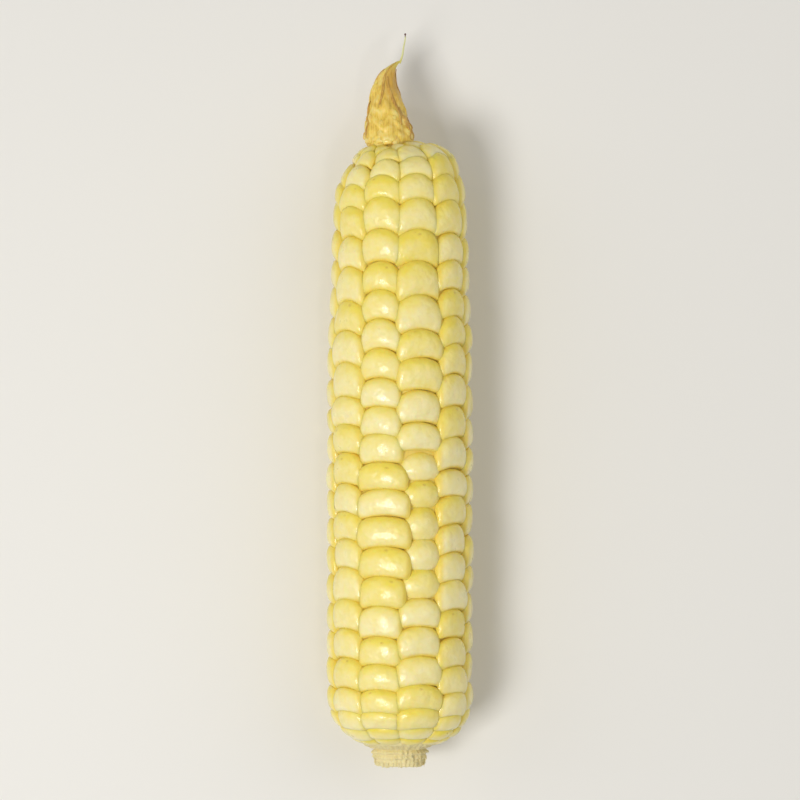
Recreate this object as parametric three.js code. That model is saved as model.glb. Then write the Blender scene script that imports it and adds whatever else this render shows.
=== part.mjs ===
// Corn cob: a small husked ear of waxy corn, lying on its side.
// The ear is a blunt, nearly straight cob, closed all round by rows of kernels. Beyond its last
// kernels it withers into a bare horn that leans to one side, hooks back and ends in a strand of
// dry silk. Its near end keeps the short stub of stalk that it was snapped from.
//
// Units are millimetres. +Z is up and z = 0 is the surface that the ear lies on. The length
// runs along Y with the tip at +Y, and the origin is under the middle of the whole object.
import * as THREE from "three";

// The ear, measured over the crowns of its kernels
const EAR_LENGTH = 129;
const EAR_DIAMETER = 31.6;
const TAPER_START = 82; // from the butt, where the ear starts to narrow
const TAPER_ANGLE = 2.4; // degrees, each side
const SHOULDER_LENGTH = 16.5; // of the rounded end at the tip
const SHOULDER_POWER = 2.9; // 2 is an ellipse, and more is blunter
const BUTT_LENGTH = 13; // of the rounded end at the stalk
const BUTT_POWER = 2.6;

// The kernels
const ROWS = 10; // always an even number on corn
const KERNEL_PITCH = 6.1; // along a row
const END_KERNEL_SHARE = 0.6; // an end kernel's length, as a share of the pitch
const END_KERNELS = 3; // kernels over which a row shortens to its end
const ROW_GROOVE = 1.5; // depth between two rows
const KERNEL_GROOVE = 0.8; // depth between two kernels of a row
const GROOVE_POWER = 3; // 1 is a plain V, and more is narrower, with flatter crowns
const FACETS_PER_KERNEL = 4; // around the ear and along a row

// The withered tip
const TIP_LENGTH = 17.2;
const TIP_BASE_DIAMETER = 10.4;
const TIP_POINT_DIAMETER = 0.7;
const TIP_BULGE_POWERS = [1.6, 0.9]; // 1 and 1 are a straight cone, and these bulge it
const TIP_OFFSET = 2.3; // sideways, from the ear's axis to the middle of the tip's base
const TIP_LEAN = 1.6; // how far the tip swings further out
const TIP_HOOK = 3.8; // how far its point comes back
const TIP_HOOK_POWER = 8; // more puts the hook nearer to the point
const TIP_RIB_HEIGHT = 0.3; // of the rows that never filled
const TIP_RINGS = 14;
const TIP_SEAT_MARGIN = 4; // of the shoulder round the tip's base, over which it shifts sideways

// The strand of silk that the tip ends in
const SILK_DIAMETER = 0.5;
const SILK_LENGTH = 5.6; // along Y
const SILK_DRIFT = 1.2; // sideways, over its length
const SILK_BEND = [1, 2.2]; // sideways and along Y, to where its two directions cross
const SILK_STEPS = 8;
const SILK_SIDES = 8;

// The stub of the stalk
const STUB_DIAMETER = 10.5;
const STUB_LENGTH = 4;
const STUB_EDGE = 0.45; // of the bevel round its snapped end
const STUB_RING_LENGTH = 1.2; // of the ring where the husk was torn off, next to the ear
const STUB_RING_SLOPE = 1; // length over which the stalk widens to the ring
const STUB_FLARE = 1.1; // how far the ring stands out
const STUB_SEAT_MARGIN = 0.6; // of the ear's butt round the stub
const STUB_SIDES = 30;

const CLEARANCE = 0.3; // between pieces that meet face to face
const HEIGHT_TOLERANCE = 1e-6; // of a height that is worked out by halving
const LINE_DIVISIONS = 2000; // of a curve, when its length is measured
const EAR_RADIUS = EAR_DIAMETER / 2;
const TIP_BASE_RADIUS = TIP_BASE_DIAMETER / 2;
const TIP_SEAT_RADIUS = TIP_BASE_RADIUS + TIP_OFFSET + TIP_SEAT_MARGIN;
const STUB_SEAT_RADIUS = STUB_DIAMETER / 2 + STUB_FLARE + STUB_SEAT_MARGIN;

const kernelSkin = new THREE.MeshStandardMaterial({ color: 0xe8d88b, roughness: 0.32, metalness: 0 });
const drySilk = new THREE.MeshStandardMaterial({ color: 0xd2ab58, roughness: 0.6, metalness: 0 });
const snappedStalk = new THREE.MeshStandardMaterial({ color: 0xe3d3a2, roughness: 0.7, metalness: 0 });

// A quarter of a rounded end: 1 where it begins and 0 at its end, as depth goes from 0 to 1.
function roundedEnd(depth, power) {
  return Math.pow(1 - Math.pow(THREE.MathUtils.clamp(depth, 0, 1), power), 1 / power);
}

// The ear's radius over the crowns, at a height along it.
function earRadius(height) {
  const narrowing = Math.tan(THREE.MathUtils.degToRad(TAPER_ANGLE)) * Math.max(0, height - TAPER_START);
  const shoulder = roundedEnd((height - EAR_LENGTH + SHOULDER_LENGTH) / SHOULDER_LENGTH, SHOULDER_POWER);
  const butt = roundedEnd((BUTT_LENGTH - height) / BUTT_LENGTH, BUTT_POWER);
  return (EAR_RADIUS - narrowing) * shoulder * butt;
}

// The height at which the ear has narrowed to a radius towards one end, found by halving.
function heightOfRadius(radius, end) {
  let [wide, narrow] = [EAR_LENGTH / 2, end];
  while (Math.abs(wide - narrow) > HEIGHT_TOLERANCE) {
    const middle = (wide + narrow) / 2;
    if (earRadius(middle) > radius) wide = middle;
    else narrow = middle;
  }
  return (wide + narrow) / 2;
}

const STUB_SEAT_HEIGHT = heightOfRadius(STUB_SEAT_RADIUS, 0);
const TIP_SEAT_HEIGHT = heightOfRadius(TIP_BASE_RADIUS, EAR_LENGTH);

// The line over the crowns, from the stub's seat to the tip's base, as (radius, height).
class CrownLine extends THREE.Curve {
  getPoint(t, target = new THREE.Vector2()) {
    const eased = (1 - Math.cos(Math.PI * t)) / 2; // closer together where the ends turn over
    const height = THREE.MathUtils.lerp(STUB_SEAT_HEIGHT, TIP_SEAT_HEIGHT, eased);
    return target.set(earRadius(height), height);
  }
}

// Where the kernels of a row start and end, as shares of the row: shorter kernels at both ends.
function kernelEnds(rowLength) {
  const count = Math.round(rowLength / KERNEL_PITCH + END_KERNELS * (1 - END_KERNEL_SHARE));
  const ends = [0];
  for (let i = 0; i < count; i += 1) {
    const grown = Math.min(1, Math.min(i, count - 1 - i) / END_KERNELS);
    ends.push(ends.at(-1) + THREE.MathUtils.lerp(END_KERNEL_SHARE, 1, grown));
  }
  return ends.map((end) => end / ends.at(-1));
}

// How deep the surface lies under the crowns, at a place counted in kernels across and along.
// Each row is half a kernel further along than the one beside it.
function grooveDepth(across, along) {
  const groove = (place) => Math.pow(Math.abs(2 * (place - Math.floor(place)) - 1), GROOVE_POWER);
  const shift = Math.floor(across) % 2 ? 0.5 : 0;
  return ROW_GROOVE * groove(across) + KERNEL_GROOVE * groove(along + shift);
}

// The rings of the kernel-covered part: each has a radius, a height, a sideways shift, and a
// function that presses it in by (radius, height) at a place across.
function kernelRings() {
  const line = new CrownLine();
  line.arcLengthDivisions = LINE_DIVISIONS;
  const ends = kernelEnds(line.getLength());
  const rings = [];
  for (let i = 0; i <= (ends.length - 1) * FACETS_PER_KERNEL; i += 1) {
    const along = i / FACETS_PER_KERNEL;
    const kernel = Math.min(Math.floor(along), ends.length - 2);
    const share = THREE.MathUtils.lerp(ends[kernel], ends[kernel + 1], along - kernel);
    const crown = line.getPointAt(share);
    const tangent = line.getTangentAt(THREE.MathUtils.clamp(share, 0.002, 0.998));
    const isEnd = share === 0 || share === 1;
    const scale = isEnd ? 0 : crown.x / EAR_RADIUS;
    const shifted = (TIP_SEAT_RADIUS - crown.x) / (TIP_SEAT_RADIUS - TIP_BASE_RADIUS);
    const towardsTip = crown.y > EAR_LENGTH / 2 ? THREE.MathUtils.smoothstep(shifted, 0, 1) : 0;
    rings.push({
      radius: crown.x,
      height: crown.y,
      shift: -TIP_OFFSET * towardsTip,
      pressIn: (across) => {
        const depth = grooveDepth(across, along) * scale;
        return [-tangent.y * depth, tangent.x * depth];
      },
    });
  }
  return rings;
}

// The rings of the withered tip, from just above its base to its point.
function tipRings() {
  const rings = [];
  for (let i = 1; i <= TIP_RINGS; i += 1) {
    const along = Math.sin((Math.PI / 2) * (i / TIP_RINGS)); // closer together at the point
    const bulge = Math.pow(1 - Math.pow(along, TIP_BULGE_POWERS[0]), TIP_BULGE_POWERS[1]);
    rings.push({
      radius: THREE.MathUtils.lerp(TIP_POINT_DIAMETER / 2, TIP_BASE_RADIUS, bulge),
      height: TIP_SEAT_HEIGHT + TIP_LENGTH * along,
      shift: -TIP_OFFSET - TIP_LEAN * along + TIP_HOOK * Math.pow(along, TIP_HOOK_POWER),
      pressIn: (across) => [TIP_RIB_HEIGHT * bulge * (Math.cos(2 * Math.PI * (across - 0.5)) - 1) / 2, 0],
    });
  }
  return rings;
}

// The ear: its rings turned about the axis, then pressed in between the kernels and shifted.
function earGeometry(rings) {
  const first = rings[0];
  const last = rings.at(-1);
  const profile = rings.map((ring) => new THREE.Vector2(ring.radius, ring.height));
  profile.unshift(new THREE.Vector2(0, first.height));
  profile.push(new THREE.Vector2(0, last.height));
  const columns = ROWS * FACETS_PER_KERNEL;
  const geometry = new THREE.LatheGeometry(profile, columns);
  const position = geometry.getAttribute("position");
  for (let column = 0; column <= columns; column += 1) {
    const across = (column % columns) / FACETS_PER_KERNEL;
    const angle = (across / ROWS) * 2 * Math.PI;
    const start = column * profile.length;
    rings.forEach((ring, i) => {
      const [wider, higher] = ring.pressIn(across);
      const radius = ring.radius + wider;
      const [x, z] = [radius * Math.sin(angle) + ring.shift, radius * Math.cos(angle)];
      position.setXYZ(start + i + 1, x, ring.height + higher, z);
    });
    position.setX(start, first.shift);
    position.setX(start + profile.length - 1, last.shift);
  }
  geometry.computeVertexNormals();
  return geometry;
}

// The strand of silk: on from the tip's point, it leans the way the hook goes and then rises.
function silkGeometry(point) {
  const start = new THREE.Vector3(point.shift, point.height + CLEARANCE, 0);
  const bend = new THREE.Vector3(start.x + SILK_BEND[0], start.y + SILK_BEND[1], 0);
  const end = new THREE.Vector3(start.x + SILK_DRIFT, start.y + SILK_LENGTH, 0);
  const section = new THREE.Shape().absarc(0, 0, SILK_DIAMETER / 2, 0, 2 * Math.PI);
  return new THREE.ExtrudeGeometry(section, {
    curveSegments: SILK_SIDES,
    steps: SILK_STEPS,
    bevelEnabled: false,
    extrudePath: new THREE.QuadraticBezierCurve3(start, bend, end),
  });
}

// The stub: a short stalk, with the ring that the husk was torn from next to the ear.
function stubGeometry() {
  const radius = STUB_DIAMETER / 2;
  const top = STUB_SEAT_HEIGHT - CLEARANCE;
  const end = top - STUB_LENGTH;
  const ring = top - STUB_RING_LENGTH;
  const profile = [
    new THREE.Vector2(0, end),
    new THREE.Vector2(radius - STUB_EDGE, end),
    new THREE.Vector2(radius, end + STUB_EDGE),
    new THREE.Vector2(radius, ring - STUB_RING_SLOPE),
    new THREE.Vector2(radius + STUB_FLARE, ring),
    new THREE.Vector2(radius + STUB_FLARE, top),
    new THREE.Vector2(0, top),
  ];
  return new THREE.LatheGeometry(profile, STUB_SIDES);
}

// A named piece of the corn.
function piece(name, geometry, material) {
  const mesh = new THREE.Mesh(geometry, material);
  mesh.name = name;
  return mesh;
}

const rings = [...kernelRings(), ...tipRings()];
const corn = new THREE.Group();
corn.add(
  piece("ear", earGeometry(rings), kernelSkin),
  piece("silk_strand", silkGeometry(rings.at(-1)), drySilk),
  piece("shank_stub", stubGeometry(), snappedStalk),
);

// Laid down: the lowest crowns touch z = 0, and the origin is under the middle.
const bounds = new THREE.Box3().setFromObject(corn, true);
const middle = bounds.getCenter(new THREE.Vector3());
corn.position.set(-middle.x, -middle.y, -bounds.min.z);

export default corn;
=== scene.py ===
"""A corn cob lying on its side: a husked ear of waxy corn, with its bare tip, silk and stalk.

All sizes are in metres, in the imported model's own frame: +Z is up, the ear lies along Y and
its tip points to +Y. An angle about the ear is counted from straight up towards +X.
"""

import logging
import math
import random
from collections.abc import Callable
from dataclasses import dataclass, field
from enum import Enum
from functools import partial

import bpy
import numpy as np
from mathutils import Matrix, Vector, noise


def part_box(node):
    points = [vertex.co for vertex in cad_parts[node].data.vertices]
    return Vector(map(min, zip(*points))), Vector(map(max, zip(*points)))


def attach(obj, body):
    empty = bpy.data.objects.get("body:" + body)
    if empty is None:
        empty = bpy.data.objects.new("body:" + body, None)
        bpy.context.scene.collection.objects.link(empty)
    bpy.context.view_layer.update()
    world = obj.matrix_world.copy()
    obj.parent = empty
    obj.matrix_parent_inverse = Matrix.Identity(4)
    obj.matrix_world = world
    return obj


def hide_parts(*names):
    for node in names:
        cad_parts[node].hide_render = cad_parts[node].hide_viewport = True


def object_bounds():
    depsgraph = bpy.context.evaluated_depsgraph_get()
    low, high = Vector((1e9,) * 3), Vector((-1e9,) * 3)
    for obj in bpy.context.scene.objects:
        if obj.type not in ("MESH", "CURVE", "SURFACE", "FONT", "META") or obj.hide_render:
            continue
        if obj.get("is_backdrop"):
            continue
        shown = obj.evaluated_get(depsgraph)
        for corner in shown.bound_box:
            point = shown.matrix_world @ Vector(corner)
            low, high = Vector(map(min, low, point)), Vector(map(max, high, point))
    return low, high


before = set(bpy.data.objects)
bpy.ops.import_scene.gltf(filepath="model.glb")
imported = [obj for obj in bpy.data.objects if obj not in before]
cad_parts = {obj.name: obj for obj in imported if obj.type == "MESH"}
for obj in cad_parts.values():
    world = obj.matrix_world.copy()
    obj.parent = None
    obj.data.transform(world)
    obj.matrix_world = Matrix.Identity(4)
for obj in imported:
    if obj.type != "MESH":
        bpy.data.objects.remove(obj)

LOG = logging.getLogger("corn_cob")
MM = 0.001
BODY = "root"

# Settings that many nodes share, and the inputs of a Mix node that mixes colours: its share,
# and what it gives at 0 and at 1.
EASED = {"interpolation_type": "SMOOTHSTEP"}
COLOURS = {"data_type": "RGBA"}
SHARE, AT_0, AT_1 = 0, 6, 7


class Slot(Enum):
    """The record's material slots."""

    KERNELS = "kernels"
    DRY_TIP = "dry_tip"
    STALK = "stalk"


# ---------------------------------------------------------------- small tools


def srgb(code: str) -> tuple[float, float, float, float]:
    """Turns an sRGB hex colour to linear.

    Args:
        code: The colour as RRGGBB.

    Returns:
        Linear red, green, blue and an alpha of 1.
    """
    channels = [int(code[i : i + 2], 16) / 255 for i in (0, 2, 4)]
    linear = [c / 12.92 if c <= 0.04045 else ((c + 0.055) / 1.055) ** 2.4 for c in channels]
    return (*linear, 1.0)


def add_node(
    tree: bpy.types.NodeTree, kind: str, feeds: dict | list | tuple = (), **settings: object
) -> bpy.types.Node:
    """Adds a node to a tree, with its settings and links.

    Args:
        tree: The shader or geometry tree.
        kind: The node's type name.
        feeds: What the inputs get, in order or by name or number: a value, an output, or a node,
            which gives its first output in use.
        settings: Values of the node's own properties, by name.

    Returns:
        The new node.
    """
    node = tree.nodes.new(kind)
    for name, value in settings.items():
        setattr(node, name, value)
    for key, value in (feeds if isinstance(feeds, dict) else dict(enumerate(feeds))).items():
        if isinstance(value, bpy.types.Node):
            value = next(output for output in value.outputs if output.enabled)
        if isinstance(value, bpy.types.NodeSocket):
            tree.links.new(value, node.inputs[key])
        else:
            node.inputs[key].default_value = value
    return node


def outward(angle: float) -> Vector:
    """The direction at an angle about the ear."""
    return Vector((math.sin(angle), 0, math.cos(angle)))


def full_turn(sides: int) -> list[float]:
    """The angles of a ring's vertices."""
    return [math.tau * side / sides for side in range(sides)]


def ease(share: float) -> float:
    """Turns a share into one that leaves 0 and reaches 1 gently."""
    share = min(1.0, max(0.0, share))
    return share * share * (3 - 2 * share)


def wobble(place: float, seed: float, wave: float) -> float:
    """A smooth random value between about -1 and 1 that varies along a line.

    Args:
        place: Where on the line.
        seed: Chooses the line.
        wave: The distance over which the value changes.

    Returns:
        The value.
    """
    return 1.6 * noise.noise(Vector((place / wave, 17.3 * seed, 5.1 * seed)))


def mesh_object(name: str, points: list, faces: list) -> bpy.types.Object:
    """Makes a smooth-shaded mesh object at the origin.

    Args:
        name: The object's name.
        points: The vertices' places.
        faces: Vertex numbers of each face.

    Returns:
        The object, linked to the scene.
    """
    mesh = bpy.data.meshes.new(name)
    mesh.from_pydata([tuple(p) for p in points], [], faces)
    mesh.validate()
    mesh.polygons.foreach_set("use_smooth", [True] * len(mesh.polygons))
    made = bpy.data.objects.new(name, mesh)
    bpy.context.scene.collection.objects.link(made)
    return made


def store(mesh: bpy.types.Mesh, name: str, values: list, kind: str = "FLOAT") -> None:
    """Stores a value for each vertex of a mesh as a named attribute.

    Args:
        mesh: The mesh.
        name: The attribute's name.
        values: A number or a vector for each vertex.
        kind: FLOAT or FLOAT_VECTOR.
    """
    layer = mesh.attributes.new(name, kind, "POINT")
    flat = np.asarray(values, dtype=np.float32).ravel()
    layer.data.foreach_set("value" if kind == "FLOAT" else "vector", flat)


def ring_faces(rings: int, sides: int) -> list[tuple[int, ...]]:
    """Joins rings of vertices into a closed skin whose two ends are single faces.

    Args:
        rings: How many rings there are, from the lowest number up.
        sides: Vertices in each ring, counter-clockwise seen from the last ring's side.

    Returns:
        The faces, all pointing outwards.
    """
    faces = []
    for ring in range(rings - 1):
        for side in range(sides):
            low, next_low = ring * sides + side, ring * sides + (side + 1) % sides
            faces.append((low, next_low, next_low + sides, low + sides))
    faces.append(tuple(reversed(range(sides))))
    faces.append(tuple((rings - 1) * sides + side for side in range(sides)))
    return faces


def sweep(
    path: list[Vector], outs: list[Vector], halves: list[tuple[float, float]], sides: int = 10
) -> tuple[list, list]:
    """Draws an oval along a path.

    Args:
        path: The middle of each oval.
        outs: The direction of each oval's thickness.
        halves: Half of each oval's width and of its thickness.
        sides: Vertices round each oval.

    Returns:
        The vertices and the faces of a closed skin.
    """
    points = []
    for i, (middle, out, (wide, thick)) in enumerate(zip(path, outs, halves)):
        ahead = (path[min(i + 1, len(path) - 1)] - path[max(i - 1, 0)]).normalized()
        side = ahead.cross(out).normalized()
        up = side.cross(ahead)
        for angle in full_turn(sides):
            points.append(middle + side * (wide * math.sin(angle)) + up * (thick * math.cos(angle)))
    return points, ring_faces(len(path), sides)


def joined(skins: list[tuple[list, list]]) -> tuple[list, list]:
    """Puts several skins into one list of vertices and one of faces.

    Args:
        skins: The vertices and faces of each skin.

    Returns:
        All the vertices and all the faces.
    """
    points, faces = [], []
    for some_points, some_faces in skins:
        first = len(points)
        points.extend(some_points)
        faces.extend(tuple(first + i for i in face) for face in some_faces)
    return points, faces


def finish_piece(piece: bpy.types.Object, skin: bpy.types.Material, node: str) -> None:
    """Dresses a finished piece and fixes it to the frame.

    Args:
        piece: The piece.
        skin: Its material.
        node: The CAD node that it stands for.
    """
    piece.data.materials.clear()
    piece.data.materials.append(skin)
    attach(piece, BODY)
    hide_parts(node)
    LOG.info("%s: %d faces", piece.name, len(piece.data.polygons))


# ---------------------------------------------------------------- finishes


@dataclass(frozen=True)
class Finish:
    """What every finish shares: a node tree that ends in one Principled shader."""

    name: str

    def make(self) -> bpy.types.Material:
        """Builds the material.

        Returns:
            The material, with its shader fed by what the finish draws.
        """
        material = bpy.data.materials.new(self.name)
        material.use_nodes = True
        material.node_tree.nodes.clear()
        add = partial(add_node, material.node_tree)
        shader = add("ShaderNodeBsdfPrincipled", self.look(add))
        add("ShaderNodeOutputMaterial", {"Surface": shader})
        return material

    def look(self, add: Callable[..., bpy.types.Node]) -> dict[str, object]:
        """Draws the finish. Each finish has its own.

        Args:
            add: Adds a node to the material's tree.

        Returns:
            What each input of the shader gets.
        """
        raise NotImplementedError


@dataclass(frozen=True)
class KernelSkin(Finish):
    """Steamed waxy-corn kernel: a clear wet pericarp over milky endosperm.

    The skin gives a sharp, wet gloss, and the starch under it scatters light. A kernel is cream
    at its crown and is painted a deeper yellow where it meets its neighbours and at its tipward
    end: painted shade in the seams between kernels.
    """

    name: str = "steamed_waxy_corn_kernel"
    cream: str = "F8EBB2"
    yellow: str = "F0DB58"
    # seam: the colour of the painted shade in the seams between kernels
    seam: str = "EED45C"
    scar: str = "B4883C"
    ripening: float = 45 * MM  # from the middle of the ear, over which it turns yellower
    mottle: float = 2.2 * MM  # the clouds of starch, a quarter of a kernel's width
    dimple: float = 1.7 * MM
    dimple_depth: float = 0.3 * MM
    wrinkle: float = 0.45 * MM  # what steaming leaves in the skin
    wrinkle_depth: float = 0.04 * MM
    glow_depth: float = 0.7 * MM

    def look(self, add: Callable[..., bpy.types.Node]) -> dict[str, object]:
        """Draws the kernels from the tone, crown and local place that each one stores.

        Args:
            add: Adds a node to the material's tree.

        Returns:
            What each input of the shader gets.
        """
        place = add("ShaderNodeTexCoord").outputs["Object"]
        tone = add("ShaderNodeAttribute", attribute_name="tone").outputs["Fac"]
        crown = add("ShaderNodeAttribute", attribute_name="crown").outputs["Fac"]
        local = add("ShaderNodeAttribute", attribute_name="local").outputs["Vector"]
        mottle = add("ShaderNodeTexNoise", {"Vector": place, "Scale": 1 / self.mottle, "Detail": 3.0})
        # Each kernel leans to cream or to yellow, and starch clouds it. It is painted deeper yellow
        # towards its tipward end: painted shade at the seam with the kernel beyond.
        along = add("ShaderNodeSeparateXYZ", [local]).outputs["Y"]
        tipward = add("ShaderNodeMapRange", [along, -0.2, 1.0, -0.3, 0.35], **EASED)
        own = add("ShaderNodeMath", [tone, 0.45, tipward], operation="MULTIPLY_ADD")
        # Kernels near the tip are a little yellower than those near the stalk.
        height = add("ShaderNodeSeparateXYZ", [place]).outputs["Y"]
        riper = add("ShaderNodeMapRange", [height, 0.0, self.ripening, 0.0, 0.2])
        aged = add("ShaderNodeMath", [own, riper], operation="ADD")
        clouded = add("ShaderNodeMath", [mottle, 0.8, aged], operation="MULTIPLY_ADD", use_clamp=True)
        flesh = {SHARE: clouded, AT_0: srgb(self.cream), AT_1: srgb(self.yellow)}
        # Towards its neighbours the skin is painted a deeper yellow: painted shade in the seams
        # between kernels.
        depth = add("ShaderNodeMapRange", [crown, 0.5, 0.0, 0.0, 0.85], **EASED)
        seam_shaded = {SHARE: depth, AT_0: add("ShaderNodeMix", flesh, **COLOURS), AT_1: srgb(self.seam)}
        # The silk scar: a brown fleck near the tipward end, plain on some kernels only.
        chance = add("ShaderNodeTexWhiteNoise", {"W": tone}, noise_dimensions="1D").outputs["Color"]
        spot = [chance, (0.9, 0.3, 0.0), (-0.45, 0.45, 0.0)]
        spot = add("ShaderNodeVectorMath", spot, operation="MULTIPLY_ADD")
        offset = add("ShaderNodeVectorMath", [local, spot], operation="DISTANCE")
        fleck = add("ShaderNodeMapRange", [offset, 0.12, 0.02, 0.0, 0.9], **EASED)
        chosen = add("ShaderNodeMapRange", [tone, 0.6, 0.9, 0.0, 0.5], **EASED)
        marked = add("ShaderNodeMath", [fleck, chosen], operation="MULTIPLY")
        scarred = {SHARE: marked, AT_0: add("ShaderNodeMix", seam_shaded, **COLOURS), AT_1: srgb(self.scar)}
        dimple = add("ShaderNodeTexNoise", {"Vector": place, "Scale": 1 / self.dimple, "Detail": 1.0})
        wrinkle = add("ShaderNodeTexNoise", {"Vector": place, "Scale": 1 / self.wrinkle, "Detail": 3.0})
        dimpled = add("ShaderNodeBump", {"Height": dimple, "Distance": self.dimple_depth, "Strength": 1.0})
        wrinkled = {"Height": wrinkle, "Distance": self.wrinkle_depth, "Strength": 0.8, "Normal": dimpled}
        return {
            "Base Color": add("ShaderNodeMix", scarred, **COLOURS),
            "Roughness": add("ShaderNodeMapRange", [mottle, 0.3, 0.7, 0.26, 0.42]),
            "Normal": add("ShaderNodeBump", wrinkled),
            "IOR": 1.42,
            "Subsurface Weight": 0.4,
            "Subsurface Radius": (1.0, 0.72, 0.3),
            "Subsurface Scale": self.glow_depth,
            "Coat Weight": 0.38,
            "Coat Roughness": 0.08,
            "Coat IOR": 1.4,
        }


@dataclass(frozen=True)
class DriedTissue(Finish):
    """Dried plant tissue: the withered tip, its florets and fibres, and the cob's own skin.

    It is streaked lengthwise by its fibres and still green at its growing point. The upper part of
    its +X flank is painted browner: painted shade on the side away from the light, in the withered
    colour. Steaming leaves a thin film of moisture, which gives it a low gloss.
    """

    name: str = "withered_corn_tissue"
    light: str = "F5E08C"
    middle: str = "ECC954"
    dark: str = "C69F38"
    fibre: float = 0.35 * MM  # real ones are about 0.1 mm, which wouldn't show
    fibre_length: float = 5 * MM
    blotch: float = 2.2 * MM
    relief: float = 0.05 * MM
    glow_depth: float = 1.0 * MM
    # withered: the brown painted as shade on the upper +X flank of the bare tip
    withered: str = "D3A03E"
    green: str = "D2C964"
    chaff: str = "E6CB62"

    def look(self, add: Callable[..., bpy.types.Node]) -> dict[str, object]:
        """Draws the tissue with its fibres along Y.

        The cob stores its share along the bare tip and its side, which place the painted shade on
        the +X flank and the green point, and where it is raised, which is painted lighter, with
        painted shade between the bumps. Other pieces store none of them.

        Args:
            add: Adds a node to the material's tree.

        Returns:
            What each input of the shader gets.
        """
        place = add("ShaderNodeTexCoord").outputs["Object"]
        share = add("ShaderNodeAttribute", attribute_name="share").outputs["Fac"]
        side = add("ShaderNodeAttribute", attribute_name="side").outputs["Fac"]
        raised = add("ShaderNodeAttribute", attribute_name="relief").outputs["Fac"]
        scale = (1 / self.fibre, 1 / self.fibre_length, 1 / self.fibre)
        drawn = add("ShaderNodeMapping", {"Vector": place, "Scale": scale})
        fibres = add("ShaderNodeTexNoise", {"Vector": drawn, "Scale": 1.0, "Detail": 4.0})
        blotches = add("ShaderNodeTexNoise", {"Vector": place, "Scale": 1 / self.blotch, "Detail": 4.0})
        blotched = add("ShaderNodeMath", [blotches, 0.55], operation="MULTIPLY")
        # Real blotches, plus painted light and shade: raised parts are painted lighter and the hollows
        # between them darker.
        blotches_and_relief_light = add("ShaderNodeMath", [raised, 0.16, blotched], operation="MULTIPLY_ADD")
        both = add("ShaderNodeMath", [fibres, 0.45, blotches_and_relief_light], operation="MULTIPLY_ADD")
        streaked = add("ShaderNodeValToRGB", [both])
        stops = streaked.color_ramp.elements
        stops[0].position, stops[0].color = 0.33, srgb(self.dark)
        stops[1].position, stops[1].color = 0.66, srgb(self.light)
        stops.new(0.49).color = srgb(self.middle)
        # Painted shade: the upper part of the +X flank, away from the light, is painted in the withered
        # colour.
        up = add("ShaderNodeMapRange", [share, 0.35, 0.7, 0.0, 0.75], **EASED)
        flank = add("ShaderNodeMapRange", [side, -0.55, 0.5, 0.0, 1.0], **EASED)
        flank_painted_shade = add("ShaderNodeMath", [up, flank], operation="MULTIPLY")
        # Among the kernels, below the bare tip, the cob is covered in pale chaff.
        bedded = add("ShaderNodeMapRange", [share, -0.2, -1.0, 0.0, 0.8])
        fresh = add("ShaderNodeMapRange", [share, 0.84, 0.97, 0.0, 0.8], **EASED)
        colour = streaked
        for amount, code in ((flank_painted_shade, self.withered), (bedded, self.chaff), (fresh, self.green)):
            colour = add("ShaderNodeMix", {SHARE: amount, AT_0: colour, AT_1: srgb(code)}, **COLOURS)
        return {
            "Base Color": colour,
            "Roughness": 0.5,
            "Normal": add("ShaderNodeBump", {"Height": both, "Distance": self.relief, "Strength": 0.7}),
            "IOR": 1.45,
            "Subsurface Weight": 0.25,
            "Subsurface Radius": (1.0, 0.6, 0.25),
            "Subsurface Scale": self.glow_depth,
            "Coat Weight": 0.2,
            "Coat Roughness": 0.25,
        }


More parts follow.
